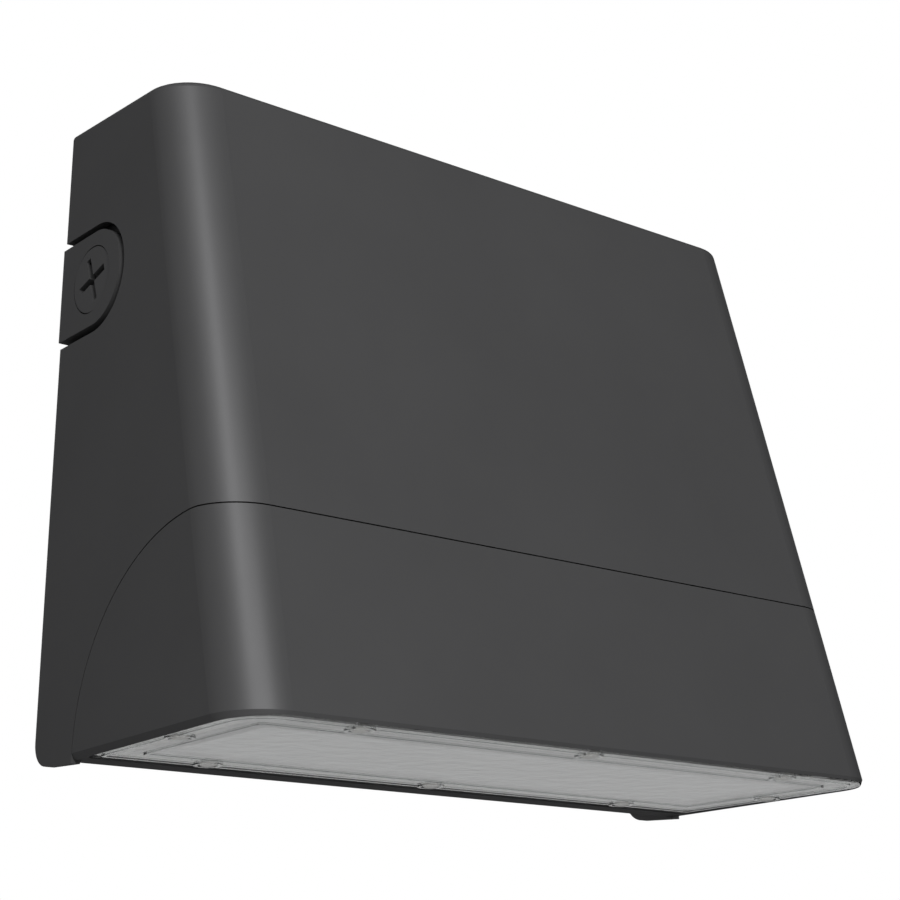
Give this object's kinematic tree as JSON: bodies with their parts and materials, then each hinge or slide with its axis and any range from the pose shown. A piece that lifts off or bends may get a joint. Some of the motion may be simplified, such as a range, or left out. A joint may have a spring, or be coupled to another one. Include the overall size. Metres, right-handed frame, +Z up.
{
  "type": "wall pack light",
  "caption": "Full-cutoff LED wall pack: die-cast wedge housing hinged on a back box, with a light door, screwed-on clear lens, driver tray and side conduit plugs.",
  "frame": {"origin": "centre of the rear wire entry, in the wall's plane", "axes": "+Z up, +X to the right as seen from the front, +Y into the wall; the light stands out towards -Y"},
  "size_m": [0.2448, 0.1108, 0.1995],
  "materials": {
    "powder_coat": "satin dark grey powder coat on die-cast aluminium",
    "foam_rubber": "closed-cell foam, matte",
    "silicone": "pale grey silicone",
    "grommet_rubber": "matte black",
    "green_screw": "green passivated",
    "zinc_steel": "zinc plated",
    "stainless_steel": "plain stainless",
    "galvanised_steel": "galvanised sheet",
    "clear_lens": "clear moulded lens",
    "frosted_panel": "frosted, satin",
    "white_reflector": "white reflector film",
    "white_board": "white solder mask",
    "phosphor": "silicone over phosphor",
    "driver_case": "plain case",
    "black_lead": "smooth insulation",
    "white_lead": "smooth insulation",
    "green_lead": "smooth insulation",
    "red_lead": "smooth insulation",
    "connector_plastic": "ribbed moulding"
  },
  "bodies": {
    "wall_box": {"back_box": "powder_coat", "wall_gasket": "foam_rubber", "box_gasket": "foam_rubber", "ground_screw": "green_screw"},
    "front": {"housing": "powder_coat", "light_door": "powder_coat", "door_screws": "zinc_steel", "lens": "clear_lens", "lens_gasket": "silicone", "lens_screws": "stainless_steel", "reflector": "white_reflector", "diffuser": "frosted_panel", "led_board": "white_board", "leds": "phosphor", "board_screws": "zinc_steel", "driver_tray": "galvanised_steel", "tray_screws": "zinc_steel", "driver": "driver_case", "driver_screws": "zinc_steel", "lead_grommet": "grommet_rubber", "supply_lead_black": "black_lead", "supply_lead_white": "white_lead", "supply_lead_green": "green_lead", "wire_connectors": "connector_plastic", "led_lead_red": "red_lead", "led_lead_black": "black_lead", "hinge_pin_left": "stainless_steel", "hinge_pin_right": "stainless_steel"},
    "seal_left": {"plug_seal_left": "silicone"},
    "plug_left": {"closure_plug_left": "powder_coat"},
    "seal_right": {"plug_seal_right": "silicone"},
    "plug_right": {"closure_plug_right": "powder_coat"},
    "closing_screw_left": {"closing_screw_left": "stainless_steel"},
    "clamp_left": {"clamp_plate_left": "zinc_steel"},
    "closing_screw_right": {"closing_screw_right": "stainless_steel"},
    "clamp_right": {"clamp_plate_right": "zinc_steel"}
  },
  "joints": [
    {"name": "front_hinge", "type": "hinge", "parent": "wall_box", "child": "front", "pos_m": [0, -0.011, -0.1215], "axis": [1, 0, 0], "range_deg": [0, 85]},
    {"name": "plug_travel_left", "type": "slide", "parent": "wall_box", "child": "seal_left", "axis": [-1, 0, 0], "range_m": [0, 0.0091]},
    {"name": "plug_turn_left", "type": "hinge", "parent": "seal_left", "child": "plug_left", "pos_m": [-0.1158, -0.0188, 0.0126], "axis": [-1, 0, 0], "range_deg": [0, 1800]},
    {"name": "plug_travel_right", "type": "slide", "parent": "wall_box", "child": "seal_right", "axis": [1, 0, 0], "range_m": [0, 0.0091]},
    {"name": "plug_turn_right", "type": "hinge", "parent": "seal_right", "child": "plug_right", "pos_m": [0.1158, -0.0188, 0.0126], "axis": [1, 0, 0], "range_deg": [0, 1800]},
    {"name": "closing_screw_turn_left", "type": "hinge", "parent": "front", "child": "closing_screw_left", "pos_m": [-0.07, -0.0125, 0.063], "axis": [0, 0, 1], "range_deg": [0, 720]},
    {"name": "clamp_travel_left", "type": "slide", "parent": "front", "child": "clamp_left", "axis": [0, 0, -1], "range_m": [0, 0.0016]},
    {"name": "closing_screw_turn_right", "type": "hinge", "parent": "front", "child": "closing_screw_right", "pos_m": [0.07, -0.0125, 0.063], "axis": [0, 0, 1], "range_deg": [0, 720]},
    {"name": "clamp_travel_right", "type": "slide", "parent": "front", "child": "clamp_right", "axis": [0, 0, -1], "range_m": [0, 0.0016]}
  ],
  "couplings": [
    {"joint": "plug_travel_left", "follows": "plug_turn_left", "m_per_rad": 0.00028875},
    {"joint": "plug_travel_right", "follows": "plug_turn_right", "m_per_rad": 0.00028875},
    {"joint": "closing_screw_turn_left", "follows": "clamp_travel_left", "rad_per_m": 7854},
    {"joint": "closing_screw_turn_right", "follows": "clamp_travel_right", "rad_per_m": 7854}
  ]
}
